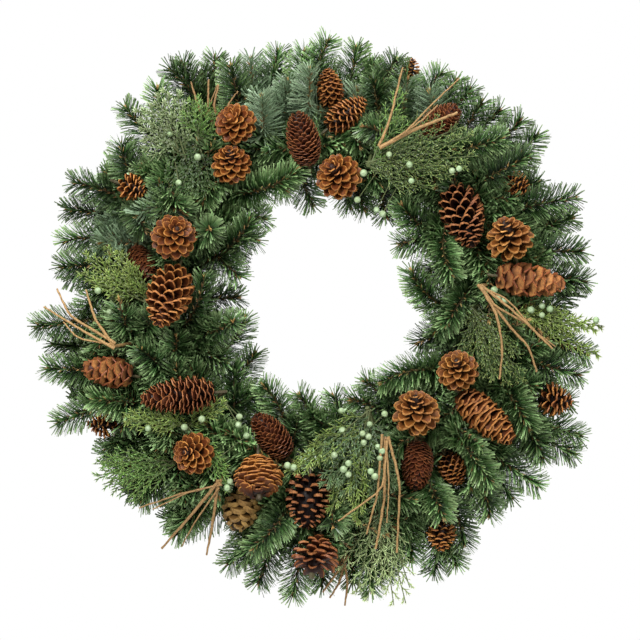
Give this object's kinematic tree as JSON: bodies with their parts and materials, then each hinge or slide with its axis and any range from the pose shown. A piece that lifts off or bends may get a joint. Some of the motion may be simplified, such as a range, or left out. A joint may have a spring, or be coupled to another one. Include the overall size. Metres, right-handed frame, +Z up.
{
  "type": "pine and pinecone wreath",
  "caption": "Round hanging wreath: mixed pine tips, pine cones, cedar and juniper sprays with berries, and bare twigs, picked to branch stems on a flat-backed wire ring.",
  "frame": {"origin": "seat of the hook that the wreath hangs on, under the top of the wire frame's inner ring, in the plane of its back", "axes": "+Z up as it hangs, +Y out of its back towards the door or wall, +X to the right for someone who faces its front"},
  "size_m": [0.6231, 0.1296, 0.6305],
  "materials": {
    "frame_wire": "satin green enamel",
    "pine_needles": "matte cut plastic needles on tan wrapped stems",
    "cone_scales": "dry woody scales with pale rims",
    "cedar_leaf": "matte moulded scale leaves with pale berries",
    "twig_bark": "dry bark"
  },
  "bodies": {
    "root": {"wire_frame": "frame_wire", "pine_branch_01": "pine_needles", "pine_branch_02": "pine_needles", "pine_branch_03": "pine_needles", "pine_branch_04": "pine_needles", "pine_branch_05": "pine_needles", "pine_branch_06": "pine_needles", "pine_branch_07": "pine_needles", "pine_branch_08": "pine_needles", "pine_branch_09": "pine_needles", "pine_branch_10": "pine_needles", "cone_01_rosette": "cone_scales", "cone_02_rosette": "cone_scales", "cone_03_spruce": "cone_scales", "cone_04_rosette": "cone_scales", "cone_05_long": "cone_scales", "cone_06_long": "cone_scales", "cone_07_open": "cone_scales", "cone_08_long": "cone_scales", "cone_09_open": "cone_scales", "cone_10_flat": "cone_scales", "cone_11_long": "cone_scales", "cone_12_open": "cone_scales", "cone_13_rosette": "cone_scales", "cone_14_open": "cone_scales", "cone_15_blocky": "cone_scales", "cone_16_spruce": "cone_scales", "cone_17_long": "cone_scales", "cone_18_open": "cone_scales", "cone_19_open": "cone_scales", "cone_20_rosette": "cone_scales", "cone_21_spruce": "cone_scales", "cone_22_flat": "cone_scales", "cone_23_open": "cone_scales", "cone_24_flat": "cone_scales", "cone_25_open": "cone_scales", "cone_26_long": "cone_scales", "cone_27_spruce": "cone_scales", "cone_28_open": "cone_scales", "cone_29_open": "cone_scales", "cone_30_open": "cone_scales", "cone_31_long": "cone_scales", "cone_32_spruce": "cone_scales", "cedar_upper_left_sage": "cedar_leaf", "cedar_upper_left_green": "cedar_leaf", "cedar_upper_right": "cedar_leaf", "juniper_left": "cedar_leaf", "cedar_lower_left": "cedar_leaf", "juniper_lower_left": "cedar_leaf", "cedar_lower_middle": "cedar_leaf", "cedar_bottom_rim": "cedar_leaf", "cedar_right": "cedar_leaf", "juniper_right": "cedar_leaf", "twigs_upper_left": "twig_bark", "twigs_upper_right": "twig_bark", "twigs_left": "twig_bark", "twigs_right": "twig_bark", "twigs_lower_left": "twig_bark", "twigs_lower_middle": "twig_bark", "twigs_bottom": "twig_bark"}
  },
  "joints": []
}
